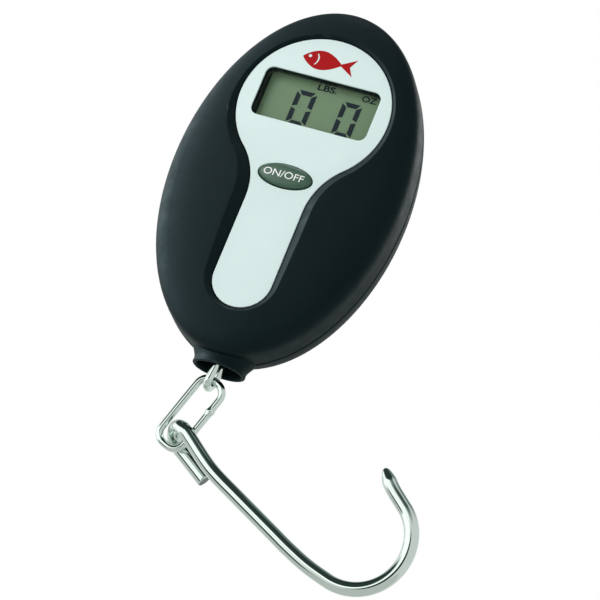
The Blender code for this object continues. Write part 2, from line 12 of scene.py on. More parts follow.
import bmesh
import bpy
from mathutils import Euler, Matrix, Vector

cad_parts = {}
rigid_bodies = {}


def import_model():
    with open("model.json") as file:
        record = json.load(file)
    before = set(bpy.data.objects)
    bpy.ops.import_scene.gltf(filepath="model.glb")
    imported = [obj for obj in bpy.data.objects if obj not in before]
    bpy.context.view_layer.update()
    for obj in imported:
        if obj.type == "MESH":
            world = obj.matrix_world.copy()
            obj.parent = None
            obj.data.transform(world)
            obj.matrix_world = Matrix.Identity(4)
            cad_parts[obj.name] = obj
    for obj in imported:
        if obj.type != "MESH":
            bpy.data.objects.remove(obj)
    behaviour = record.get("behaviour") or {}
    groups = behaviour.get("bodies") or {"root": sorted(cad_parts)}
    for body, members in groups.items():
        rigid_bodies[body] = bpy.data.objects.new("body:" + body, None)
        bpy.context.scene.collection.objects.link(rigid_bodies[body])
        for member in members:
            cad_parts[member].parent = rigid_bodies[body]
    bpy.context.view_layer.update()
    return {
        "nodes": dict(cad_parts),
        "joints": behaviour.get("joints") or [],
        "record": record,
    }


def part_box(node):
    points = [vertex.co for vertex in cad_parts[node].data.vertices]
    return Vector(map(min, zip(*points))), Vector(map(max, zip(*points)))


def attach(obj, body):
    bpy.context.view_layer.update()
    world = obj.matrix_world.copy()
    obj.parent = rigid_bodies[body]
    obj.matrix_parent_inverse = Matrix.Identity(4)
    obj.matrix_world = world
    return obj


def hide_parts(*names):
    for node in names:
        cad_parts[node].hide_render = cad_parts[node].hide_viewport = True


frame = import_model()

MM = 0.001
GAP = 0.3       # clearance round the plate, the button, the cap and the posts
SPLIT = 0.15    # half the parting line's gap
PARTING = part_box("rear_shell")[0].y / MM - SPLIT
JOINTS = {joint["name"]: joint for joint in frame["joints"]}


def case_box(node):
    """A CAD node's corners in millimetres about the case's centre."""
    return [Vector((p.x / MM, p.y / MM - PARTING, p.z / MM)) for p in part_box(node)]


def middle_of(node):
    """The middle of a CAD node's box, in x and z."""
    low, high = case_box(node)
    return ((low + high) / 2).xz


SHELL_LOW, SHELL_HIGH = case_box("front_shell")
PLATE_LOW, PLATE_HIGH = case_box("face_plate")
WINDOW_LOW, WINDOW_HIGH = case_box("display_window")
LCD_LOW, LCD_HIGH = case_box("lcd_glass")
KEY_LOW, KEY_HIGH = case_box("on_off_button")
CAP_HIGH = case_box("battery_cap")[1]
CELL_LOW, CELL_HIGH = case_box("coin_cell")

# Case
CASE_MID_Z = 1.0
CASE_HALF_WIDTH = SHELL_HIGH.x
CASE_HALF_HEIGHT = SHELL_HIGH.z - CASE_MID_Z
FRONT_DEPTH = 11.3
FRONT_CROWN = 2.0       # how far the dome falls from its middle to its rim
FRONT_SQUARE = 8.5      # the exponent of the dome's edge
BACK_DEPTH = -PARTING
BACK_ROUND = 2.3        # the exponent of the back's edge
BACK_FLAT = 0.62        # how far out the back is flat
RIM = 0.993             # how far out the halves meet
WALL = 2.0
FRONT_INSIDE = 6.3
BACK_INSIDE = 10.2
POST_SINK = 0.6         # how far the posts run into the wall that they stand on
LIP_Z = SHELL_LOW.z

# Face plate, window and button
HEAD_R = PLATE_HIGH.x
HEAD_Z = PLATE_HIGH.z - HEAD_R
HANDLE_HALF = 7.25
HANDLE_END_Z = PLATE_LOW.z + HANDLE_HALF
NECK_FILLET = 17.2
PLATE_FACE = -PLATE_LOW.y
PLATE_BACK = -PLATE_HIGH.y
SHOULDER = PLATE_FACE + 0.2
RECESS_SLOPE = 1.1      # how far the recess wall leans out for each millimetre of its height
CRISP = 0.93            # the share of the recess wall below its rounded edge
LANDING = 0.02          # the share of the dome that the rounded edge takes up
WINDOW_SIZE = (WINDOW_HIGH.x - WINDOW_LOW.x + 0.6, WINDOW_HIGH.z - WINDOW_LOW.z + 0.6)
WINDOW_MID = (WINDOW_HIGH.z + WINDOW_LOW.z) / 2
WINDOW_CORNER = 2.0
THROUGH = (-12, -5)     # the depths that a cutter of the front's openings spans
MASK_HOLE = (28.0, 14.6)
INK = 0.04              # the printing's thickness
READOUT_FACE = LCD_LOW.y - 0.05
KEY_FLANGE = 1.1
KEY_HALF = (KEY_HIGH.x - KEY_FLANGE, (KEY_HIGH.z - KEY_LOW.z) / 2 - KEY_FLANGE)
KEY_Z = (KEY_HIGH.z + KEY_LOW.z) / 2
KEY_EDGE = 9.2
KEY_DOME = -KEY_LOW.y - KEY_EDGE

# Battery, screws and load cell
CELL_R = CELL_HIGH.x
CELL_Z = (CELL_HIGH.z + CELL_LOW.z) / 2
CAP_R = CAP_HIGH.x
CASE_SCREWS = [middle_of(f"case_screw_{i}") for i in (1, 2, 3, 4)]
BOARD_SCREWS = [middle_of(f"board_screw_{i}") for i in (1, 2)]
BEAM_SCREWS = [middle_of(f"load_cell_screw_{i}") for i in (1, 2)]
HANGER_SCREW = middle_of("hanger_screw")
BEAM_FACE = 3.0

# Chain
PIVOT_Z = JOINTS["eye_tilt"]["pos_m"][2] / MM
CHAIN_TILT = 12.0
WIRE_STEP = 0.35        # the spacing of a thin wire's rings
EYE_WIRE = 0.95
EYE_R = 2.3
EYE_LENGTH = 7.9
EYE_LEAN = 9.8
LINK_WIRE = 0.9
LINK_WIDTH = 6.8
LINK_LENGTH = 18.4
LINK_CORNER = 2.7
LINK_LEAN = 21.7
LINK_SHIFT = 0.7        # how far off its middle the link hangs on the eye
WELD_PLACE = 0.33       # the weld's place along the link
HOOK_WIRE = 1.75
HOOK_EYE_TOP = (-5.58, -19.21)
HOOK_EYE_OFFSET = (4.2, 6.2)    # the return leg's offset from the shank: sideways and back
HOOK_EYE_DEPTH = 2.8
HOOK_HEADING = -38.5
# The shank, the bend and the point: each length and how far it turns, in degrees
HOOK_RUN = ((7.6, 0), (6.6, 11.4), (22.7, 0), (12.5, 12.7), (25.7, 119), (7.6, 39), (9.6, -19.6))
HOOK_RETURN = 10.5
HOOK_RETURN_OFFSET = 3.25       # the cut end's sideways offset from the shank
HOOK_POINT = 3.2


# ---- Materials ----

def linear(r, g, b):
    """An sRGB colour of 0 to 255 as the linear colour that the shaders take."""
    parts = [c / 255 for c in (r, g, b)]
    return tuple(c / 12.92 if c < 0.04 else ((c + 0.055) / 1.055) ** 2.4 for c in parts) + (1.0,)


def add(tree, kind, inputs=None, **settings):
    """A shader node; inputs holds values, or the sockets that feed it."""
    made = tree.nodes.new(kind)
    for key, value in settings.items():
        setattr(made, key, value)
    for key, value in (inputs or {}).items():
        if isinstance(value, bpy.types.NodeSocket):
            tree.links.new(value, made.inputs[key])
        else:
            made.inputs[key].default_value = value
    return made


def noise(tree, size, detail=3.0, stretch=(1, 1, 1)):
    """Noise whose features are about size millimetres across, as a socket from 0 to 1."""
    place = add(tree, "ShaderNodeTexCoord").outputs["Object"]
    mapped = add(tree, "ShaderNodeMapping", {"Vector": place, "Scale": stretch})
    return add(tree, "ShaderNodeTexNoise", {"Vector": mapped.outputs["Vector"], "Scale": 1 / (size * MM),
                                            "Detail": detail, "Roughness": 0.55}).outputs["Fac"]


def ranged(tree, socket, low, high, to_low, to_high):
    """A value between low and high carried over to the same place in another range."""
    return add(tree, "ShaderNodeMapRange", {"Value": socket, "From Min": low, "From Max": high,
                                            "To Min": to_low, "To Max": to_high}).outputs["Result"]


def mixed(tree, share, first, second):
    """A colour between two others."""
    mix = add(tree, "ShaderNodeMix", data_type="RGBA")
    for key, value in (("Factor", share), ("A", first), ("B", second)):
        socket = next(s for s in mix.inputs if s.name == key and (s.type == "RGBA") == (key != "Factor"))
        if isinstance(value, bpy.types.NodeSocket):
            tree.links.new(value, socket)
        else:
            socket.default_value = value
    return next(s for s in mix.outputs if s.type == "RGBA")


def blended(tree, share, first, second):
    """A number between two others, which may be sockets."""
    inputs = {"Factor": share, "A": first, "B": second}
    return add(tree, "ShaderNodeMix", inputs, data_type="FLOAT").outputs["Result"]


def product(tree, first, second):
    return add(tree, "ShaderNodeMath", {0: first, 1: second}, operation="MULTIPLY").outputs[0]


def scaled(colour, factor):
    return tuple(c * factor for c in colour[:3]) + (1.0,)


def finish(name, colour, rough, metallic=0.0, grain=(0.12, 0.01), mottle=(4.0, 0.12), spread=0.08,
           wear_and_edge_highlight=None, scratches=0.0, **extra):
    """A material with fine relief, uneven colour and roughness, scratches, and edges lightened partly as
    wear and partly as a painted highlight.

    grain is the relief's size and depth, mottle the size and strength of the colour's unevenness, spread
    the roughness's unevenness, wear_and_edge_highlight the colour and strength of the lightened edges,
    scratches the depth of the lines.
    """
    made = bpy.data.materials.new(name)
    made.use_nodes = True
    tree = made.node_tree
    shader = tree.nodes["Principled BSDF"]
    cloud = noise(tree, mottle[0])
    dark, light = scaled(colour, 1 - mottle[1]), scaled(colour, 1 + mottle[1])
    tone = mixed(tree, ranged(tree, cloud, 0.3, 0.7, 0, 1), dark, light)
    smudge = noise(tree, mottle[0] * 0.35, 5.0)
    dull = ranged(tree, smudge, 0.3, 0.7, max(0.02, rough - spread), min(1.0, rough + spread))
    # Convex edges, found by pointiness, are lightened in patches: partly worn edges, partly a painted
    # highlight along them.
    if wear_and_edge_highlight:
        edge = add(tree, "ShaderNodeNewGeometry").outputs["Pointiness"]
        wear_and_highlight_share = ranged(tree, edge, 0.52, 0.6, 0.0, wear_and_edge_highlight[1])
        patchy_wear_and_highlight = product(tree, wear_and_highlight_share, ranged(tree, smudge, 0.4, 0.6, 0.2, 1))
        tone = mixed(tree, patchy_wear_and_highlight, tone, wear_and_edge_highlight[0])
    height = noise(tree, grain[0], 2.0)
    bump = add(tree, "ShaderNodeBump", {"Height": height, "Distance": grain[1] * MM, "Strength": 1.0})
    if scratches:
        lines = noise(tree, 0.5, 3.0, (1.0, 1.0, 0.04))
        bump = add(tree, "ShaderNodeBump", {"Height": lines, "Distance": scratches * MM, "Strength": 1.0,
                                            "Normal": bump.outputs["Normal"]})
    values = {"Base Color": tone, "Roughness": dull, "Metallic": metallic, "Normal": bump.outputs["Normal"]}
    values.update(extra)
    for key, value in values.items():
        if isinstance(value, bpy.types.NodeSocket):
            tree.links.new(value, shader.inputs[key])
        else:
            shader.inputs[key].default_value = value
    return made


WINDOW_REFLECTION = 0.3


def window_finish():
    """Clear moulded plastic: mostly see-through, with a weak reflection."""
    made = bpy.data.materials.new("window_clear")
    made.use_nodes = True
    tree = made.node_tree
    tree.nodes.clear()
    ripples = noise(tree, 9.0)
    relief = add(tree, "ShaderNodeBump", {"Height": ripples, "Distance": 0.02 * MM, "Strength": 0.4})
    dull = ranged(tree, noise(tree, 3.0), 0.3, 0.7, 0.03, 0.08)
    gloss = add(tree, "ShaderNodeBsdfGlossy", {"Roughness": dull, "Normal": relief.outputs["Normal"]})
    through = add(tree, "ShaderNodeBsdfTransparent", {"Color": (0.93, 0.95, 0.93, 1)})
    facing = add(tree, "ShaderNodeFresnel", {"IOR": 1.45, "Normal": relief.outputs["Normal"]})
    share = product(tree, facing.outputs[0], WINDOW_REFLECTION)
    blend = add(tree, "ShaderNodeMixShader", {0: share, 1: through.outputs[0], 2: gloss.outputs[0]})
    add(tree, "ShaderNodeOutputMaterial", {"Surface": blend.outputs[0]})
    return made


def board_finish():
    """Green solder mask with raised tracks and tinned pads."""
    made = finish("board_mask", linear(24, 82, 48), 0.38, grain=(0.3, 0.01), mottle=(6.0, 0.1))
    tree = made.node_tree
    shader = tree.nodes["Principled BSDF"]
    place = add(tree, "ShaderNodeTexCoord").outputs["Object"]
    turn = (math.radians(90), 0, 0)
    flat = add(tree, "ShaderNodeMapping", {"Vector": place, "Rotation": turn}).outputs["Vector"]
    tracks = add(tree, "ShaderNodeTexBrick", {"Vector": flat, "Scale": 260.0, "Mortar Size": 0.025,
                                              "Brick Width": 0.9, "Row Height": 0.3})
    pads = add(tree, "ShaderNodeTexVoronoi", {"Vector": flat, "Scale": 330.0, "Randomness": 0.35})
    tinned = ranged(tree, pads.outputs["Distance"], 0.18, 0.22, 1, 0)
    old = shader.inputs["Base Color"].links[0].from_socket
    lined = mixed(tree, tracks.outputs["Fac"], old, linear(44, 120, 66))
    tree.links.new(mixed(tree, tinned, lined, linear(190, 192, 190)), shader.inputs["Base Color"])
    tree.links.new(tinned, shader.inputs["Metallic"])
    return made


def make_finishes():
    """Every finish, under the name of the record's slot that it is for; the last four have none there."""
    # The pale grey that the black parts' edges are lightened towards: partly wear, partly a painted
    # highlight on their crests and rims.
    edge_grey = linear(96, 108, 110)
    return {
        "soft_black": finish("soft_touch", linear(13, 22, 25), 0.56, grain=(0.16, 0.012),
                             mottle=(9.0, 0.12), spread=0.06, wear_and_edge_highlight=(edge_grey, 0.15),
                             **{"Specular IOR Level": 0.17, "Specular Tint": (0.5, 0.92, 1.0, 1)}),
        "silver_plate": finish("satin_plate", linear(233, 250, 249), 0.42, 0.1, grain=(0.09, 0.004),
                               mottle=(11.0, 0.015), spread=0.05),
        "clear_window": window_finish(),
        "lcd": finish("lcd_panel", linear(150, 174, 143), 0.32, grain=(0.22, 0.006), mottle=(0.35, 0.04),
                      spread=0.04),
        "black_plastic": finish("moulded_black", linear(30, 32, 33), 0.5, grain=(0.1, 0.01),
                                wear_and_edge_highlight=(edge_grey, 0.2)),
        "rubber": finish("rubber_black", linear(24, 24, 24), 0.8, grain=(0.2, 0.02)),
        # The button's rim is lightened to a pale green: partly wear, partly a painted highlight round it.
        "button": finish("button_green", linear(66, 98, 80), 0.36, grain=(0.1, 0.005), mottle=(2.0, 0.05),
                         wear_and_edge_highlight=(linear(160, 184, 170), 0.35)),
        "circuit_board": board_finish(),
        "epoxy": finish("potting", linear(16, 16, 17), 0.3, grain=(1.2, 0.05)),
        "steel": finish("plated_steel", linear(172, 174, 176), 0.28, 1.0, grain=(0.15, 0.004),
                        wear_and_edge_highlight=(linear(225, 226, 228), 0.4), scratches=0.004),
        "chrome": finish("chrome_wire", linear(224, 233, 228), 0.06, 1.0, grain=(2.5, 0.0006),
                         mottle=(6.0, 0.02), spread=0.02),
        "aluminium": finish("milled_aluminium", linear(196, 198, 200), 0.36, 1.0, grain=(0.2, 0.004),
                            scratches=0.01),
        "gauge_film": finish("gauge_amber", linear(196, 128, 52), 0.4, grain=(0.12, 0.01),
                             mottle=(0.8, 0.2)),
        "wire_red": finish("wire_red", linear(176, 26, 24), 0.45, grain=(0.3, 0.01)),
        "wire_black": finish("wire_black", linear(24, 24, 25), 0.45, grain=(0.3, 0.01)),
        "cut_steel": finish("cut_steel", linear(128, 134, 130), 0.55, 0.8, grain=(0.12, 0.02),
                            scratches=0.02),
        "ink_red": finish("red_ink", linear(184, 2, 12), 0.5, grain=(0.1, 0.003), mottle=(1.5, 0.06),
                          **{"Specular IOR Level": 0.15}),
        "ink_white": finish("white_ink", linear(252, 254, 253), 0.5, grain=(0.1, 0.003),
                            mottle=(1.0, 0.02)),
        "ink_dark": finish("lcd_dark", linear(26, 38, 58), 0.4, grain=(0.1, 0.002), mottle=(0.6, 0.1),
                           **{"Specular IOR Level": 0.3}),
    }


# ---- Mesh helpers ----

def placed(x, y, z):
    return Vector((x, y + PARTING, z)) * MM


def new_object(name, data):
    obj = bpy.data.objects.new(name, data)
    bpy.context.scene.collection.objects.link(obj)
    return obj


def add_piece(name, mesh, slot, smooth_angle=38):
    obj = new_object(name, mesh)
    mesh.materials.append(FINISHES[slot])
    mesh.shade_smooth()
    mesh.set_sharp_from_angle(angle=math.radians(smooth_angle))
    return obj


def skin(name, rings, slot, closed=False, smooth_angle=38):
    """A skin over rings of equal length: capped at both ends, or closed round on itself."""
    bm = bmesh.new()
    rows = [[bm.verts.new(placed(*p)) for p in ring] for ring in rings]
    count = len(rows[0])
    pairs = list(zip(rows, rows[1:])) + ([(rows[-1], rows[0])] if closed else [])
    for low, high in pairs:
        for i in range(count):
            j = (i + 1) % count
            bm.faces.new((low[i], low[j], high[j], high[i]))
    if not closed:
        bm.faces.new(rows[0][::-1])
        bm.faces.new(rows[-1])
    bmesh.ops.recalc_face_normals(bm, faces=bm.faces)
    mesh = bpy.data.meshes.new(name)
    bm.to_mesh(mesh)
    bm.free()
    return add_piece(name, mesh, slot, smooth_angle)


def rounded_box(width, height, corner, steps=10, centre=(0.0, 0.0)):
    points = []
    for quarter, (sx, sz) in enumerate(((1, 1), (-1, 1), (-1, -1), (1, -1))):
        cx = centre[0] + sx * (width / 2 - corner)
        cz = centre[1] + sz * (height / 2 - corner)
        for i in range(steps + 1):
            angle = math.radians(90 * (quarter + i / steps))
            points.append((cx + corner * math.cos(angle), cz + corner * math.sin(angle)))
    return points


def oval(half_width, half_height, centre=(0.0, 0.0), steps=96):
    turns = [math.tau * i / steps for i in range(steps)]
    return [(centre[0] + half_width * math.cos(t), centre[1] + half_height * math.sin(t)) for t in turns]


def at_depth(outline, y):
    return [(x, y, z) for x, z in outline]


def slab(name, outline, y0, y1, slot):
    return skin(name, [at_depth(outline, y0), at_depth(outline, y1)], slot)


def block(name, x, y, z, slot):
    outline = [(x[0], z[0]), (x[1], z[0]), (x[1], z[1]), (x[0], z[1])]
    return slab(name, outline, y[0], y[1], slot)


def turned(name, centre, profile, slot, steps=64, smooth_angle=38):
    """A round piece about an axis along y through centre: profile lists radius and y."""
    rings = [at_depth(oval(r, r, centre, steps), y) for r, y in profile]
    return skin(name, rings, slot, smooth_angle=smooth_angle)


def bake(obj):
    """Swaps the object's mesh for what its modifiers make of it."""
    graph = bpy.context.evaluated_depsgraph_get()
    mesh = bpy.data.meshes.new_from_object(obj.evaluated_get(graph))
    obj.modifiers.clear()
    obj.data = mesh
    mesh.shade_smooth()
    mesh.set_sharp_from_angle(angle=math.radians(32))


def boolean(obj, tools, operation):
    """Cuts or joins with the tools, which are used up."""
    for tool in tools:
        step = obj.modifiers.new(tool.name, "BOOLEAN")
        step.operation = operation
        step.solver = "EXACT"
        step.object = tool
        step.material_mode = "INDEX"
    bake(obj)
    for tool in tools:
        bpy.data.objects.remove(tool)


def cut(obj, *tools):
    boolean(obj, tools, "DIFFERENCE")


def join(obj, *tools):
    boolean(obj, tools, "UNION")


def soften(obj, width, angle=35):
    """Rounds the object's edges by width."""
    step = obj.modifiers.new("edge", "BEVEL")
    step.width = width * MM
    step.segments = 2
    step.limit_method = "ANGLE"
    step.angle_limit = math.radians(angle)
    step.use_clamp_overlap = True
    bake(obj)


def flatten_faces(obj):
    """Stops the faces that look straight to the front or back from being shaded as if they curved."""
    for face in obj.data.polygons:
        if abs(face.normal.y) > 0.9999:
            face.use_smooth = False


def mounted(obj, body, slot, *nodes):
    """Makes a finished piece ride on its body, and stand for the CAD nodes it is a finer copy of."""
    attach(obj, body)
    if nodes:
        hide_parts(*nodes)


# ---- Case ----

def plate_outline(spread=0.0):
    """The face plate's edge, moved out by spread, as points in x and z, from the handle's end."""
    handle = HANDLE_HALF + spread
    head = HEAD_R + spread
    fillet = NECK_FILLET - spread
    fillet_x = HANDLE_HALF + NECK_FILLET
    neck_z = HEAD_Z - math.sqrt((HEAD_R + NECK_FILLET) ** 2 - fillet_x ** 2)
    meet = math.atan2(HEAD_Z - neck_z, fillet_x)
    right = []
    for i in range(25):
        angle = math.radians(-90 + 90 * i / 24)
        right.append((handle * math.cos(angle), HANDLE_END_Z + handle * math.sin(angle)))
    for i in range(1, 14):
        right.append((handle, HANDLE_END_Z + (neck_z - HANDLE_END_Z) * i / 14))
    for i in range(25):
        angle = math.pi - meet * i / 24
        right.append((fillet_x + fillet * math.cos(angle), neck_z + fillet * math.sin(angle)))
    for i in range(1, 73):
        angle = -meet + (math.pi / 2 + meet) * i / 72
        right.append((head * math.cos(angle), HEAD_Z + head * math.sin(angle)))
    return right + [(-x, z) for x, z in reversed(right[1:-1])]


def share_out(x, z):
    """How far out a point lies on the case's ellipse: 0 at the centre, 1 at the rim."""
    return math.hypot(x / CASE_HALF_WIDTH, (z - CASE_MID_Z) / CASE_HALF_HEIGHT)


def front_depth(share):
    """The dome's height over the parting plane."""
    upright = max(0.0, 1 - share ** FRONT_SQUARE) ** (1 / FRONT_SQUARE)
    return (FRONT_DEPTH - FRONT_CROWN * share ** 2) * upright


def front_share(depth):
    """How far out the dome comes down to a height."""
    low, high = 0.0, 1.0
    for _ in range(40):
        middle = (low + high) / 2
        if front_depth(middle) > depth:
            low = middle
        else:
            high = middle
    return low


def back_share(depth, full):
    """How far out the back, or its inside, of a full depth reaches at a lesser depth."""
    return BACK_FLAT + (1 - BACK_FLAT) * math.sqrt(1 - (depth / full) ** BACK_ROUND)


def spread_to(outline, share, inset=0.0):
    """Each point of an outline moved along its ray from the centre onto a case ellipse."""
    moved = []
    for x, z in outline:
        up = z - CASE_MID_Z
        ray = math.hypot(x / (CASE_HALF_WIDTH - inset), up / (CASE_HALF_HEIGHT - inset))
        moved.append((x * share / ray, CASE_MID_Z + up * share / ray))
    return moved


def between(first, second, share):
    """The ring, or outline, that lies a share of the way from one to another."""
    return [tuple(p + (q - p) * share for p, q in zip(a, b)) for a, b in zip(first, second)]


def on_dome(points):
    """Points in x and z put on the front's dome."""
    return [(x, -front_depth(share_out(x, z)), z) for x, z in points]


def recess_crest():
    """Where the recess wall would meet the dome, as points in x and z."""
    foot = plate_outline()
    away = [(b[0] - a[0], b[1] - a[1]) for a, b in zip(foot, plate_outline(1.0))]
    reach = [1.0] * len(foot)
    for _ in range(14):
        edge = [(p[0] + d[0] * r, p[1] + d[1] * r) for p, d, r in zip(foot, away, reach)]
        rise = [max(front_depth(share_out(*p)) - PLATE_FACE, 0.1) for p in edge]
        reach = [GAP + RECESS_SLOPE * r for r in rise]
    return edge


def front_rings():
    """Rings from the plate's seat, up the recess wall, over the dome, round the rim and in."""
    outline = plate_outline()
    foot = at_depth(plate_outline(GAP), -PLATE_FACE)
    edge = recess_crest()
    crest = on_dome(edge)
    shoulder = spread_to(outline, front_share(SHOULDER))
    landing = on_dome(between(edge, shoulder, LANDING))
    start = between(foot, crest, CRISP)
    rings = [at_depth(plate_outline(GAP), -PLATE_BACK + GAP), foot, between(foot, crest, 0.3), start]
    for i in range(1, 7):
        t = i / 6
        rings.append(between(between(start, crest, t), between(crest, landing, t), t))
    for i in range(1, 8):
        share = LANDING + (1 - LANDING) * i / 7
        rings.append(on_dome(between(edge, shoulder, share)))
    for i in range(1, 23):
        depth = SHOULDER - (SHOULDER - 0.45) * (i / 22) ** 1.7
        rings.append(at_depth(spread_to(outline, front_share(depth)), -depth))
    rings.append(at_depth(spread_to(outline, RIM), -SPLIT))
    for i in range(12):
        depth = SPLIT + (FRONT_INSIDE - SPLIT) * (i / 11) ** 0.6
        share = (1 - (depth / (FRONT_INSIDE + 0.05)) ** 6) ** (1 / 16)
        rings.append(at_depth(spread_to(outline, share, WALL), -depth))
    return rings


def collar(name, side):
    """One half of the flared collar round the mouth; side is -1 at the front and 1 at the back."""
    rings = []
    for z, rx, ry in (
        (-41.0, 9.0, 6.9), (-42.4, 8.4, 6.45), (-43.4, 7.8, 6.0), (-44.4, 7.2, 5.6), (-45.2, 6.75, 5.3),
        (-45.9, 6.5, 5.15), (LIP_Z + 0.75, 6.5, 5.15), (LIP_Z + 0.4, 6.55, 5.2), (LIP_Z + 0.15, 6.5, 5.15),
        (LIP_Z, 6.3, 5.0),
    ):
        arc = [math.pi * i / 30 for i in range(31)]
        rings.append([(rx * math.cos(t), side * (SPLIT + (ry - SPLIT) * math.sin(t)), z) for t in arc])
    return skin(name, rings, "soft_black")


def mouth_bore(name):
    """The cutter for the mouth, wider towards its lip."""
    rings = []
    for z, rx, ry in ((LIP_Z - 1.5, 6.3, 5.0), (LIP_Z - 0.1, 5.95, 4.7), (LIP_Z + 0.15, 5.7, 4.48),
                      (LIP_Z + 0.6, 5.52, 4.32), (LIP_Z + 1.2, 5.5, 4.3), (-40.5, 5.5, 4.3)):
        rings.append([(x, y, z) for x, y in oval(rx, ry, steps=60)])
    return skin(name, rings, "soft_black")


def post(name, centre, radius, y0, y1):
    return turned(name, centre, ((radius, y0), (radius, y1)), "soft_black", 40)


def key_outline(spread):
    """The button's oval, moved out by spread."""
    return oval(KEY_HALF[0] + spread, KEY_HALF[1] + spread, (0, KEY_Z))


def window_outline():
    return rounded_box(*WINDOW_SIZE, WINDOW_CORNER, centre=(0, WINDOW_MID))


def make_case_front():
    shell = skin("case_front", front_rings(), "soft_black")
    ceiling = -FRONT_INSIDE - POST_SINK
    posts = [collar("front_collar", -1)]
    bores = []
    for i, place in enumerate(CASE_SCREWS):
        posts.append(post(f"case_post_{i}", place, 2.3, ceiling, -GAP))
        bores.append(post(f"case_bore_{i}", place, 1.15, -4.6, 1))
    for i, place in enumerate(BOARD_SCREWS):
        posts.append(post(f"board_post_{i}", place, 1.9, ceiling, -2.1))
        bores.append(post(f"board_bore_{i}", place, 0.95, -5.0, 1))
    join(shell, *posts)
    bores.append(slab("window_cut", window_outline(), *THROUGH, "soft_black"))
    bores.append(slab("key_cut", key_outline(GAP), *THROUGH, "soft_black"))
    bores.append(mouth_bore("front_bore"))
    cut(shell, *bores)
    mounted(shell, "case", "soft_black", "front_shell")


def back_rings():
    outline = oval(1, 1, (0, CASE_MID_Z), 180)
    rings = []
    for i in range(26):
        turn = math.radians(90) * (1 - i / 26)
        share = BACK_FLAT + (1 - BACK_FLAT) * math.cos(turn)
        depth = BACK_DEPTH * math.sin(turn) ** (2 / BACK_ROUND)
        rings.append(at_depth(spread_to(outline, share), depth))
    shoulder = SPLIT + 0.2
    rings.append(at_depth(spread_to(outline, back_share(shoulder, BACK_DEPTH)), shoulder))
    rings.append(at_depth(spread_to(outline, RIM), SPLIT))
    for i in range(12):
        depth = SPLIT + (BACK_INSIDE - SPLIT) * i / 11
        rings.append(at_depth(spread_to(outline, back_share(depth, BACK_INSIDE), WALL), depth))
    return rings


def make_case_back():
    shell = skin("case_back", back_rings(), "soft_black")
    centre = (0, CELL_Z)
    cup = ((12.9, 4.3), (12.9, BACK_INSIDE + 0.8))
    posts = [collar("rear_collar", 1), turned("cup", centre, cup, "soft_black", 96)]
    edge = CAP_R + GAP + 0.1
    opening = ((edge, 8.9), (edge, 11.75), (edge + 0.3, 12.1), (edge + 0.3, 14))
    bores = [
        turned("cap_opening", centre, opening, "soft_black", 96),
        turned("cell_bore", centre, ((CELL_R + 0.6, 5.5), (CELL_R + 0.6, 9.5)), "soft_black", 96),
        block("slot_side", (9.7, 10.9), (3, 6), (CELL_Z - 1.9, CELL_Z + 1.9), "soft_black"),
        block("slot_low", (-2, 2), (3, 6), (8.6, 9.6), "soft_black"),
    ]
    for i, place in enumerate(CASE_SCREWS):
        posts.append(post(f"rear_post_{i}", place, 3.1, GAP, 6.6))
        bores.append(post(f"rear_bore_{i}", place, 1.4, -1, 13))
        bores.append(post(f"counterbore_{i}", place, 2.5, 4.8, 14))
    for i, place in enumerate(BEAM_SCREWS):
        posts.append(post(f"beam_post_{i}", place, 2.55, BEAM_FACE + GAP, 9.3))
        bores.append(post(f"beam_bore_{i}", place, 1.15, 1, 8.2))
    bores.append(mouth_bore("rear_bore"))
    join(shell, *posts)
    cut(shell, *bores)
    mounted(shell, "case", "soft_black", "rear_shell")


def make_gasket():
    """The flat gasket that closes the parting gap, from one side of the mouth round to the other."""
    inset = 1.0
    half_wide = 0.35
    half_thick = SPLIT - 0.003
    mouth_gap = 13.0
    samples = 96
    path = [(6.0, LIP_Z + 0.5), (6.0, -44.6)]
    for i in range(samples + 1):
        angle = math.radians(-90 + mouth_gap + (360 - 2 * mouth_gap) * i / samples)
        path.append(((CASE_HALF_WIDTH - inset) * math.cos(angle),
                     CASE_MID_Z + (CASE_HALF_HEIGHT - inset) * math.sin(angle)))
    path += [(-x, z) for x, z in path[1::-1]]
    rings = []
    for i, (x, z) in enumerate(path):
        before, after = path[max(i - 1, 0)], path[min(i + 1, len(path) - 1)]
        along = Vector((after[0] - before[0], after[1] - before[1])).normalized() * half_wide
        corners = ((1, -half_thick), (1, half_thick), (-1, half_thick), (-1, -half_thick))
        rings.append([(x + along.y * side, y, z - along.x * side) for side, y in corners])
    mounted(skin("parting_gasket", rings, "rubber"), "case", "rubber")


def make_plate():
    plate = slab("plate", plate_outline(), -PLATE_FACE, -PLATE_BACK, "silver_plate")
    cut(plate, slab("plate_window", window_outline(), *THROUGH, "silver_plate"),
        slab("plate_hole", key_outline(GAP), *THROUGH, "silver_plate"))
    soften(plate, 0.12)
    flatten_faces(plate)
    mounted(plate, "case", "silver_plate", "face_plate")


# ---- Printing ----

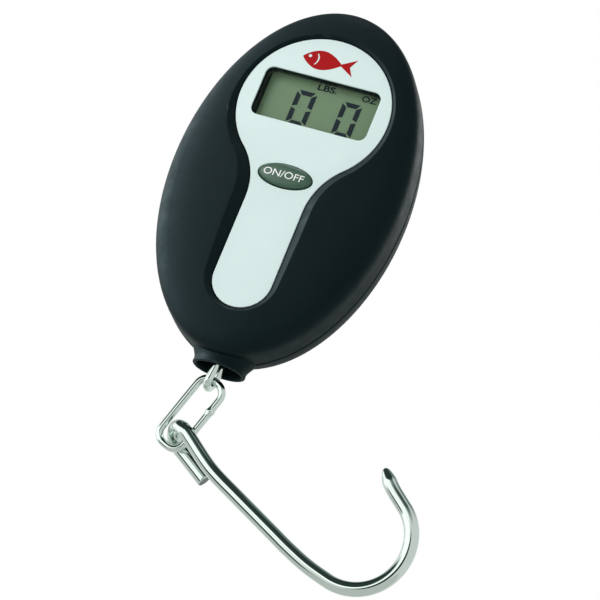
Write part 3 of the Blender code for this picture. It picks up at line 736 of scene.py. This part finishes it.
def lettering(name, text, size, centre, depth, slot, bold):
    """Text as a thin mesh facing the front, size across and tall; depth gives its y at an x and z."""
    curve = bpy.data.curves.new(name, "FONT")
    curve.body = text
    curve.offset = bold
    curve.resolution_u = 6
    maker = new_object(name, curve)
    bpy.context.view_layer.update()
    mesh = bpy.data.meshes.new_from_object(maker.evaluated_get(bpy.context.evaluated_depsgraph_get()))
    bpy.data.objects.remove(maker)
    bm = bmesh.new()
    bm.from_mesh(mesh)
    bmesh.ops.remove_doubles(bm, verts=bm.verts, dist=1e-4)
    bmesh.ops.triangulate(bm, faces=bm.faces)
    bmesh.ops.subdivide_edges(bm, edges=bm.edges, cuts=1)
    low = [min(v.co[k] for v in bm.verts) for k in (0, 1)]
    high = [max(v.co[k] for v in bm.verts) for k in (0, 1)]
    wide = size[0] / (high[0] - low[0])
    tall = size[1] / (high[1] - low[1])
    top = bmesh.ops.extrude_face_region(bm, geom=list(bm.faces))
    back = {v for v in top["geom"] if isinstance(v, bmesh.types.BMVert)}
    for v in bm.verts:
        x = centre[0] + (v.co.x - (low[0] + high[0]) / 2) * wide
        z = centre[1] + (v.co.y - (low[1] + high[1]) / 2) * tall
        v.co = placed(x, depth(x, z) + (INK if v in back else 0.0), z)
    bmesh.ops.recalc_face_normals(bm, faces=bm.faces)
    mesh = bpy.data.meshes.new(name)
    bm.to_mesh(mesh)
    bm.free()
    return add_piece(name, mesh, slot, 20)


def key_face(x, z):
    """The depth of the button's domed face at a point."""
    out = min(1.0, math.hypot(x / KEY_HALF[0], (z - KEY_Z) / KEY_HALF[1]))
    return -(KEY_EDGE + KEY_DOME * math.sqrt(1 - out ** 3.4))


def make_button():
    rings = []
    for grow, y in ((KEY_FLANGE - 0.1, KEY_HIGH.y), (KEY_FLANGE, KEY_HIGH.y - 0.1), (KEY_FLANGE, -5.9),
                    (KEY_FLANGE - 0.1, -6.0), (0.0, -6.0), (0.0, -9.0)):
        rings.append(at_depth(key_outline(grow), y))
    for i in range(18):
        share = math.cos(math.radians(90 * i / 18)) ** 0.6
        outline = oval(KEY_HALF[0] * share, KEY_HALF[1] * share, (0, KEY_Z))
        rings.append([(x, key_face(x, z), z) for x, z in outline])
    key = skin("button_key", rings, "button", smooth_angle=50)
    mounted(key, "button", "button", "on_off_button")
    words = lettering("button_legend", "ON/OFF", (10.1, 1.8), (-0.25, KEY_Z + 0.05),
                      lambda x, z: key_face(x, z) - 0.03, "ink_white", 0.006)
    mounted(words, "button", "button")


def digit(name, left, right, low, high):
    """A seven-segment nought: six bars with mitred ends and gaps between them."""
    thick = 1.22
    gap = 0.16
    chamfer = 0.35
    mitre = thick * 0.35
    middle = (low + high) / 2
    bars = []
    for x, inward in ((left, 1), (right, -1)):
        inside = x + inward * thick
        for z0, z1 in ((low, middle), (middle, high)):
            outer0 = z0 + gap + (chamfer if z0 == low else 0.0)
            outer1 = z1 - gap - (chamfer if z1 == high else 0.0)
            inner0 = z0 + gap + (thick if z0 == low else mitre)
            inner1 = z1 - gap - (thick if z1 == high else mitre)
            bars.append([(x, outer0), (x, outer1), (inside, inner1), (inside, inner0)])
    for z, inward in ((low, 1), (high, -1)):
        outer = gap + chamfer
        inner = gap + thick
        inside = z + inward * thick
        bars.append([(left + outer, z), (right - outer, z),
                     (right - inner, inside), (left + inner, inside)])
    for i, bar in enumerate(bars):
        segment = slab(f"{name}_segment_{i + 1}", bar, READOUT_FACE, READOUT_FACE + INK, "ink_dark")
        mounted(segment, "case", "lcd")


def make_readout():
    """The two noughts and the units over them."""
    digit("digit_pounds", -6.5, -1.4, 15.2, 24.6)
    digit("digit_ounces", 5.2, 10.15, 15.2, 24.5)
    for name, text, size, centre in (("legend_pounds", "LBS.", (4.9, 1.65), (0.4, 26.5)),
                                     ("legend_ounces", "OZ", (3.7, 1.65), (11.1, 26.45))):
        words = lettering(name, text, size, centre, lambda x, z: READOUT_FACE, "ink_dark", 0.022)
        mounted(words, "case", "lcd")


def make_mask():
    """The dark border printed on the display's glass."""
    middle = (0, WINDOW_MID)
    outer = rounded_box(LCD_HIGH.x - LCD_LOW.x - 0.1, LCD_HIGH.z - LCD_LOW.z - 0.1, 0.4, 4, middle)
    mask = slab("lcd_mask", outer, LCD_LOW.y - 0.1, LCD_LOW.y - 0.06, "black_plastic")
    hole = rounded_box(*MASK_HOLE, 0.6, 4, middle)
    cut(mask, slab("mask_hole", hole, -8, -4, "black_plastic"))
    flatten_faces(mask)
    mounted(mask, "case", "black_plastic")


def make_emblem():
    """A plain fish shape above the window."""
    half, tall, tail = 5.0, 2.55, 3.3
    middle = (-2.5, 31.9)
    upper = []
    for i in range(41):
        along = -1 + 2 * i / 40
        rise = max(0.0, math.cos(math.pi / 2 * along)) ** 0.85
        upper.append((half * along, tall * rise * (1 - 0.12 * along)))
    upper[-1] = (half - 0.1, 0.32)
    outline = upper + [(half + tail, tall * 0.9), (half + tail * 0.62, 0.0), (half + tail, -tall * 0.9)]
    outline += [(x, -z) for x, z in reversed(upper[1:])]
    outline = [(middle[0] + x, middle[1] + z) for x, z in outline]
    fish = slab("emblem_fish", outline, -PLATE_FACE - INK, -PLATE_FACE, "ink_red")
    eye = (middle[0] - 3.3, middle[1] + 0.5)
    crescent = ((0.0, 1.5), (0.42, 0.75), (0.55, 0.0), (0.42, -0.75), (0.0, -1.5),
                (0.3, -1.55), (0.78, -0.75), (0.92, 0.0), (0.78, 0.75), (0.3, 1.55))
    gill = [(middle[0] - 1.75 + dx, middle[1] + dz) for dx, dz in crescent]
    cut(fish, turned("fish_eye", eye, ((0.42, -10), (0.42, -8)), "ink_red", 24),
        slab("fish_gill", gill, -10, -8, "ink_red"))
    flatten_faces(fish)
    mounted(fish, "case", "silver_plate")


# ---- Back: battery cap and screws ----

def make_cap():
    """The battery cap, with a coin slot and a ring of studs that leaves the slot's ends clear."""
    centre = (0, CELL_Z)
    spigot = ((CELL_R - 0.4, 9.4), (CELL_R - 0.4, 9.95))
    rim = ((0.15, 9.95), (0.0, 10.1), (0.0, 11.5), (0.12, 11.75), (0.35, 11.88))
    groove = ((1.6, 11.9), (1.8, 11.7), (2.1, 11.7), (2.3, 11.9))
    profile = spigot + tuple((CAP_R - inset, y) for inset, y in rim + groove)
    cap = turned("cap_body", centre, profile, "black_plastic", 120, 30)
    slot = rounded_box(14, 2.6, 1.25, centre=centre)
    cut(cap, slab("coin_slot", slot, 10.9, 13, "black_plastic"))
    soften(cap, 0.1, angle=50)
    mounted(cap, "battery_cap", "black_plastic", "battery_cap")
    out = 8.0
    for i in range(10):
        turn = math.radians(36 * i + 18)
        spot = (math.cos(turn) * out, CELL_Z + math.sin(turn) * out)
        if abs(spot[1] - CELL_Z) > 1.8:
            dome = ((0.5, 11.85), (0.5, 11.92), (0.35, 11.98))
            stud = turned(f"cap_stud_{i + 1}", spot, dome, "black_plastic", 20)
            mounted(stud, "battery_cap", "black_plastic")


def screw(node, place, head_y, tip_y, radius, head_radius, head_thick, body):
    """A pan-head screw along y whose head bears at head_y and whose point is at tip_y."""
    away = math.copysign(1, head_y - tip_y)
    dome = ((0.45, 1.0), (0.72, 0.97), (0.88, 0.84), (0.97, 0.62), (1.0, 0.4), (1.0, 0.0))
    crown = [(head_radius * share, head_y + away * head_thick * rise) for share, rise in dome]
    shank = [(radius, head_y)]
    run = abs(head_y - tip_y) - 0.9
    turns = int(run / 0.7)
    for i in range(turns):
        y = head_y - away * run * (i + 0.5) / turns
        shank += [(radius, y + away * 0.12), (radius + 0.18, y), (radius, y - away * 0.12)]
    shank += [(radius, tip_y + away * 0.8), (radius * 0.35, tip_y)]
    made = turned(node + "_fine", place, crown + shank, "steel", 36, 30)
    x, z = place
    y = sorted((head_y + away * (head_thick - 0.6), head_y + away * (head_thick + 1)))
    cut(made, *[block(f"cross_{i}", (x - wide, x + wide), y, (z - tall, z + tall), "steel")
                for i, (wide, tall) in enumerate(((1.1, 0.3), (0.3, 1.1)))])
    mounted(made, body, "steel", node)


def make_screws():
    for i, place in enumerate(CASE_SCREWS):
        screw(f"case_screw_{i + 1}", place, 5.1, -4.2, 0.85, 2.1, 1.3, "case")
    for i, place in enumerate(BOARD_SCREWS):
        screw(f"board_screw_{i + 1}", place, -0.3, -4.7, 0.65, 1.8, 1.0, "case")
    for i, place in enumerate(BEAM_SCREWS):
        screw(f"load_cell_screw_{i + 1}", place, -BEAM_FACE - GAP, 7.9, 0.85, 2.0, 1.2, "case")
    screw("hanger_screw", HANGER_SCREW, -BEAM_FACE - GAP, BEAM_FACE + 0.6, 1.0, 2.2, 1.3, "hanger")


# ---- Chain ----

def chain_point(across, down, back=0.0):
    """A point of the chain's own frame, about the case's centre; down is negative below the pivot."""
    tilt = math.radians(CHAIN_TILT)
    return (across, back * math.cos(tilt) - down * math.sin(tilt),
            PIVOT_Z + down * math.cos(tilt) + back * math.sin(tilt))


def oblong(half_width, length, corner, steps):
    """A closed path in two coordinates: an oblong from 0 down to -length, with round corners."""
    points = []
    for quarter, (side, end) in enumerate(((1, 0), (-1, 0), (-1, 1), (1, 1))):
        middle = -corner if end == 0 else corner - length
        for i in range(steps + 1):
            angle = math.radians(90 * (quarter + i / steps))
            points.append((side * (half_width - corner) + corner * math.cos(angle),
                           middle + corner * math.sin(angle)))
    return points


def resampled(points, spacing, closed):
    """A path with a point every spacing millimetres or so, smooth through the points given."""
    count = len(points)
    fine = []
    for i in range(count if closed else count - 1):
        corners = []
        for k in (i - 1, i, i + 1, i + 2):
            corners.append(Vector(points[k % count] if closed else points[min(max(k, 0), count - 1)]))
        before, here, ahead, after = corners
        length = (ahead - here).length
        slope_here = (ahead - before) * (length / max((ahead - here).length + (here - before).length, 1e-6))
        slope_ahead = (after - here) * (length / max((after - ahead).length + (ahead - here).length, 1e-6))
        steps = max(1, round(length / spacing))
        for k in range(steps):
            t = k / steps
            fine.append(here * (2 * t ** 3 - 3 * t ** 2 + 1) + slope_here * (t ** 3 - 2 * t ** 2 + t)
                        + ahead * (3 * t ** 2 - 2 * t ** 3) + slope_ahead * (t ** 3 - t ** 2))
    if not closed:
        fine.append(Vector(points[-1]))
    return fine


def wire(name, path, radii, slot, sides=32, closed=False):
    """A round wire along a path, with a radius for each point."""
    count = len(path)
    normal = None
    rings = []
    for i, point in enumerate(path):
        ahead = path[(i + 1) % count] if closed or i + 1 < count else point
        behind = path[i - 1] if closed or i else point
        along = (ahead - behind).normalized()
        if normal is None:
            normal = along.orthogonal()
        normal = (normal - along * normal.dot(along)).normalized()
        side = along.cross(normal)
        turns = [math.tau * k / sides for k in range(sides)]
        rings.append([point + radii[i] * (math.cos(t) * normal + math.sin(t) * side) for t in turns])
    return skin(name, rings, slot, closed, 60)


def make_eye():
    lean = math.radians(EYE_LEAN)
    path = []
    for back, along in oblong(EYE_R, EYE_LENGTH + EYE_R, EYE_R - 0.05, 6):
        drop = along + EYE_R
        path.append(chain_point(drop * math.sin(lean), drop * math.cos(lean), back))
    path = resampled(path, WIRE_STEP, True)
    eye = wire("eye_wire", path, [EYE_WIRE] * len(path), "chrome", closed=True)
    mounted(eye, "eye", "chrome", "load_eye")


def eye_bottom():
    lean = math.radians(EYE_LEAN)
    return (-EYE_LENGTH * math.sin(lean), -EYE_LENGTH * math.cos(lean))


def link_axis():
    """The centre of the link's upper wire, and its lengthwise direction."""
    lean = math.radians(LINK_LEAN)
    along = (-math.sin(lean), -math.cos(lean))
    start = eye_bottom()
    rise = EYE_WIRE + LINK_WIRE + 0.25
    return (start[0] - along[0] * rise - along[1] * LINK_SHIFT,
            start[1] - along[1] * rise + along[0] * LINK_SHIFT), along


def make_link():
    """The link, with the weld's bead a third of the way down its right leg."""
    top, along = link_axis()
    path = []
    for side, drop in oblong(LINK_WIDTH / 2, LINK_LENGTH, LINK_CORNER, 5):
        path.append(chain_point(top[0] - along[0] * drop - along[1] * side,
                                top[1] - along[1] * drop + along[0] * side))
    path = resampled(path, WIRE_STEP, True)
    right = LINK_WIDTH / 2
    drop = LINK_LENGTH * WELD_PLACE
    weld = Vector(chain_point(top[0] + along[0] * drop - along[1] * right,
                              top[1] + along[1] * drop + along[0] * right))
    radii = []
    for point in path:
        near = (point - weld).length
        ripple = 0.05 * math.sin(near * 4.2 + 1.0)
        radii.append(LINK_WIRE + (0.16 + ripple) * math.exp(-(near / 0.75) ** 2))
    link = wire("link_wire", path, radii, "chrome", closed=True)
    mounted(link, "link", "chrome", "chain_link")


def hook_path():
    """Points along the hook: the cut end, the eye, the shank, the bend and the point."""
    heading = math.radians(HOOK_HEADING)
    along = (math.cos(heading), math.sin(heading))
    aside = (math.sin(heading), -math.cos(heading))
    across, back = HOOK_EYE_OFFSET
    start = (HOOK_EYE_TOP[0] + along[0] * HOOK_EYE_DEPTH - aside[0] * across / 2,
             HOOK_EYE_TOP[1] + along[1] * HOOK_EYE_DEPTH - aside[1] * across / 2)
    path = []
    for i in range(5):
        share = 1 - i / 5
        reach = HOOK_RETURN * share
        out = across + (HOOK_RETURN_OFFSET - across) * share
        path.append((start[0] + aside[0] * out + along[0] * reach,
                     start[1] + aside[1] * out + along[1] * reach, back / 2))
    for i in range(13):
        turn = math.pi * i / 12
        out = -HOOK_EYE_DEPTH * math.sin(turn)
        share = (1 + math.cos(turn)) / 2
        path.append((start[0] + along[0] * out + aside[0] * across * share,
                     start[1] + along[1] * out + aside[1] * across * share, back * (share - 0.5)))
    x, z = start
    for length, turn in HOOK_RUN:
        steps = max(2, round(abs(turn) / 8), round(length / 5))
        for i in range(steps):
            middle = heading + math.radians(turn) * (i + 0.5) / steps
            x += math.cos(middle) * length / steps
            z += math.sin(middle) * length / steps
            path.append((x, z, -back / 2))
        heading += math.radians(turn)
    return path


def make_hook():
    """The hook, tapered to its point and chamfered at its cut end."""
    path = resampled([chain_point(*p) for p in hook_path()], 0.45, False)
    left = [0.0]
    for a, b in zip(path[::-1], path[-2::-1]):
        left.append(left[-1] + (a - b).length)
    radii = [HOOK_WIRE * min(1.0, 0.12 + 0.88 * math.sqrt(gone / HOOK_POINT)) for gone in left][::-1]
    start, along = path[0], (path[1] - path[0]).normalized()
    path = [start, start + along * 0.04, start + along * 0.14] + path[1:]
    radii = [HOOK_WIRE - 0.16, HOOK_WIRE - 0.05, HOOK_WIRE] + radii[1:]
    hook = wire("hook_wire", path, radii, "chrome", sides=40)
    hook.data.materials.append(FINISHES["cut_steel"])
    for face in hook.data.polygons:
        if len(face.vertices) > 4:
            face.material_index = 1
            face.use_smooth = False
    mounted(hook, "hook", "chrome", "hook")


# ---- CAD nodes that keep their meshes ----

def dress_nodes():
    """Gives every CAD node that stays its slot's finish."""
    slots = {part["node"]: part["material_slot"] for part in frame["record"]["subparts"]}
    for node, obj in frame["nodes"].items():
        if obj.hide_render:
            continue
        obj.data.materials.clear()
        obj.data.materials.append(FINISHES[slots[node]])
        obj.data.shade_smooth()
        obj.data.set_sharp_from_angle(angle=math.radians(35))


# ---- Studio ----

FLOOR_Z = -1.0


def make_floor():
    """A wide pale floor well below the object, with a light of its own; the camera looks up past it."""
    bpy.ops.mesh.primitive_grid_add(x_subdivisions=2, y_subdivisions=2, size=12, location=(0, 0, FLOOR_Z))
    floor = bpy.context.object
    floor.name = "studio_floor"
    paint = finish("floor_paint", linear(243, 243, 242), 0.8, grain=(3.0, 0.05), mottle=(300.0, 0.01))
    floor.data.materials.append(paint)
    sun = bpy.data.lights.new("floor_light", "SUN")
    sun.energy = 3.3
    lamp = new_object("floor_light", sun)
    lit = bpy.data.collections.new("floor_only")
    lit.objects.link(floor)
    lamp.light_linking.receiver_collection = lit
    floor.visible_glossy = floor.visible_diffuse = False


def toward(azimuth, elevation):
    """A direction: azimuth 0 is in front of the face, 90 to the user's right."""
    a, e = math.radians(azimuth), math.radians(elevation)
    return Vector((math.sin(a) * math.cos(e), -math.cos(a) * math.cos(e), math.sin(e)))


ROOM_WALLS = 0.72
# Patches of the room's walls, each painted over the last: azimuth, elevation, radius, soft edge, brightness
ROOM_PATCHES = (
    (-165, 10, 38, 10, 0.85),
    (-64, -8, 42, 3, 1.35),
    (0, -90, 60, 2, 0.58),
    (5, 40, 24, 9, 0.08),
    (-45, 52, 47, 5, 0.045),
    (-16, 16, 12, 3, 0.045),
    (-12, 0, 10, 2, 1.35),
    (0, -15, 13, 2, 0.02),
    (-54, -39, 10, 2, 0.02),
    (130, 72, 22, 8, 0.2),
)


def make_world():
    """White to the camera; to the object, a room with pale walls and light and dark patches on them."""
    world = bpy.data.worlds.new("studio")
    bpy.context.scene.world = world
    world.use_nodes = True
    tree = world.node_tree
    tree.nodes.clear()
    way = add(tree, "ShaderNodeTexCoord").outputs["Generated"]
    level = ROOM_WALLS
    for azimuth, elevation, radius, soft, brightness in ROOM_PATCHES:
        near = add(tree, "ShaderNodeVectorMath", {0: way, 1: toward(azimuth, elevation)},
                   operation="DOT_PRODUCT").outputs["Value"]
        edge = math.cos(math.radians(radius + soft))
        full = math.cos(math.radians(radius - soft))
        share = ranged(tree, near, edge, full, 0, 1)
        level = blended(tree, share, level, brightness)
    tint = mixed(tree, ranged(tree, level, 0.0, 0.5, 0, 1), (0.6, 1.0, 0.92, 1), (0.95, 1.0, 0.965, 1))
    room = add(tree, "ShaderNodeBackground", {"Color": tint, "Strength": level})
    white = add(tree, "ShaderNodeBackground", {"Color": (1, 1, 1, 1), "Strength": 1.0})
    seen = add(tree, "ShaderNodeLightPath").outputs["Is Camera Ray"]
    both = add(tree, "ShaderNodeMixShader", {0: seen, 1: room.outputs[0], 2: white.outputs[0]})
    add(tree, "ShaderNodeOutputWorld", {"Surface": both.outputs[0]})


def add_light(name, azimuth, elevation, distance, size, power):
    """A rectangular lamp out from the object, facing it."""
    lamp = bpy.data.lights.new(name, "AREA")
    lamp.shape = "RECTANGLE"
    lamp.size, lamp.size_y = size
    lamp.energy = power
    obj = new_object(name, lamp)
    back = toward(azimuth, elevation)
    obj.location = LAMP_AIM + back * distance
    obj.rotation_mode = "QUATERNION"
    obj.rotation_quaternion = (-back).to_track_quat("-Z", "Y")
    return obj


# Name, azimuth, elevation, distance in metres, width and height, power
LAMPS = (
    ("key", -71, 14, 1.2, (0.6, 0.7), 18.5),
    ("plate_key", -40, 20, 1.2, (0.6, 0.7), 5.9),
    ("left", -104, 20, 0.8, (0.4, 0.6), 1.5),
    ("top", -40, 72, 0.9, (0.3, 0.3), 1.2),
    ("rim", 150, 40, 0.9, (0.4, 0.5), 1.5),
)
LAMP_AIM = Vector((0, -0.012, -0.02))


def finished_in(*slots):
    """A collection, for light linking, of the pieces in any of some finishes."""
    group = bpy.data.collections.new(slots[0])
    wanted = [FINISHES[slot] for slot in slots]
    for obj in bpy.data.objects:
        if obj.type == "MESH" and obj.data.materials and obj.data.materials[0] in wanted:
            group.objects.link(obj)
    return group


PLATE_SLOTS = ("silver_plate", "lcd", "button", "black_plastic", "clear_window",
               "ink_red", "ink_white", "ink_dark")


def make_lights():
    """Soft lamps for the case and one for the plate alone; the wire parts only mirror the room."""
    wires = finished_in("chrome")
    wires_and_plate = finished_in("chrome", *PLATE_SLOTS)
    for group in (wires, wires_and_plate):
        for item in group.collection_objects:
            item.light_linking.link_state = "EXCLUDE"
    receivers = {"key": wires_and_plate, "plate_key": finished_in(*PLATE_SLOTS)}
    for name, *settings in LAMPS:
        lamp = add_light(name, *settings)
        lamp.light_linking.receiver_collection = receivers.get(name, wires)


CAMERA = {
    "azimuth": 17.98,
    "elevation": -19.84,
    "roll": 22.13,
    "distance": 0.698,
    "target": (0.0119, -0.012, -0.0248),
    "lens": 180,
}


def make_camera():
    """A long lens below and to the right of the face, looking up at it and rolled."""
    back = toward(CAMERA["azimuth"], CAMERA["elevation"])
    data = bpy.data.cameras.new("camera")
    data.lens = CAMERA["lens"]
    data.sensor_width = 36
    data.clip_start = 0.01
    data.clip_end = 50
    camera = new_object("camera", data)
    level = (-back).to_track_quat("-Z", "Y")
    camera.rotation_mode = "QUATERNION"
    camera.rotation_quaternion = level @ Euler((0, 0, math.radians(CAMERA["roll"]))).to_quaternion()
    camera.location = Vector(CAMERA["target"]) + back * CAMERA["distance"]
    bpy.context.scene.camera = camera


FINISHES = make_finishes()
make_case_front()
make_case_back()
make_gasket()
make_plate()
make_button()
make_readout()
make_mask()
make_emblem()
make_cap()
make_screws()
make_eye()
make_link()
make_hook()
dress_nodes()
make_floor()
make_world()
make_lights()
make_camera()
bpy.context.scene.view_settings.view_transform = "Standard"
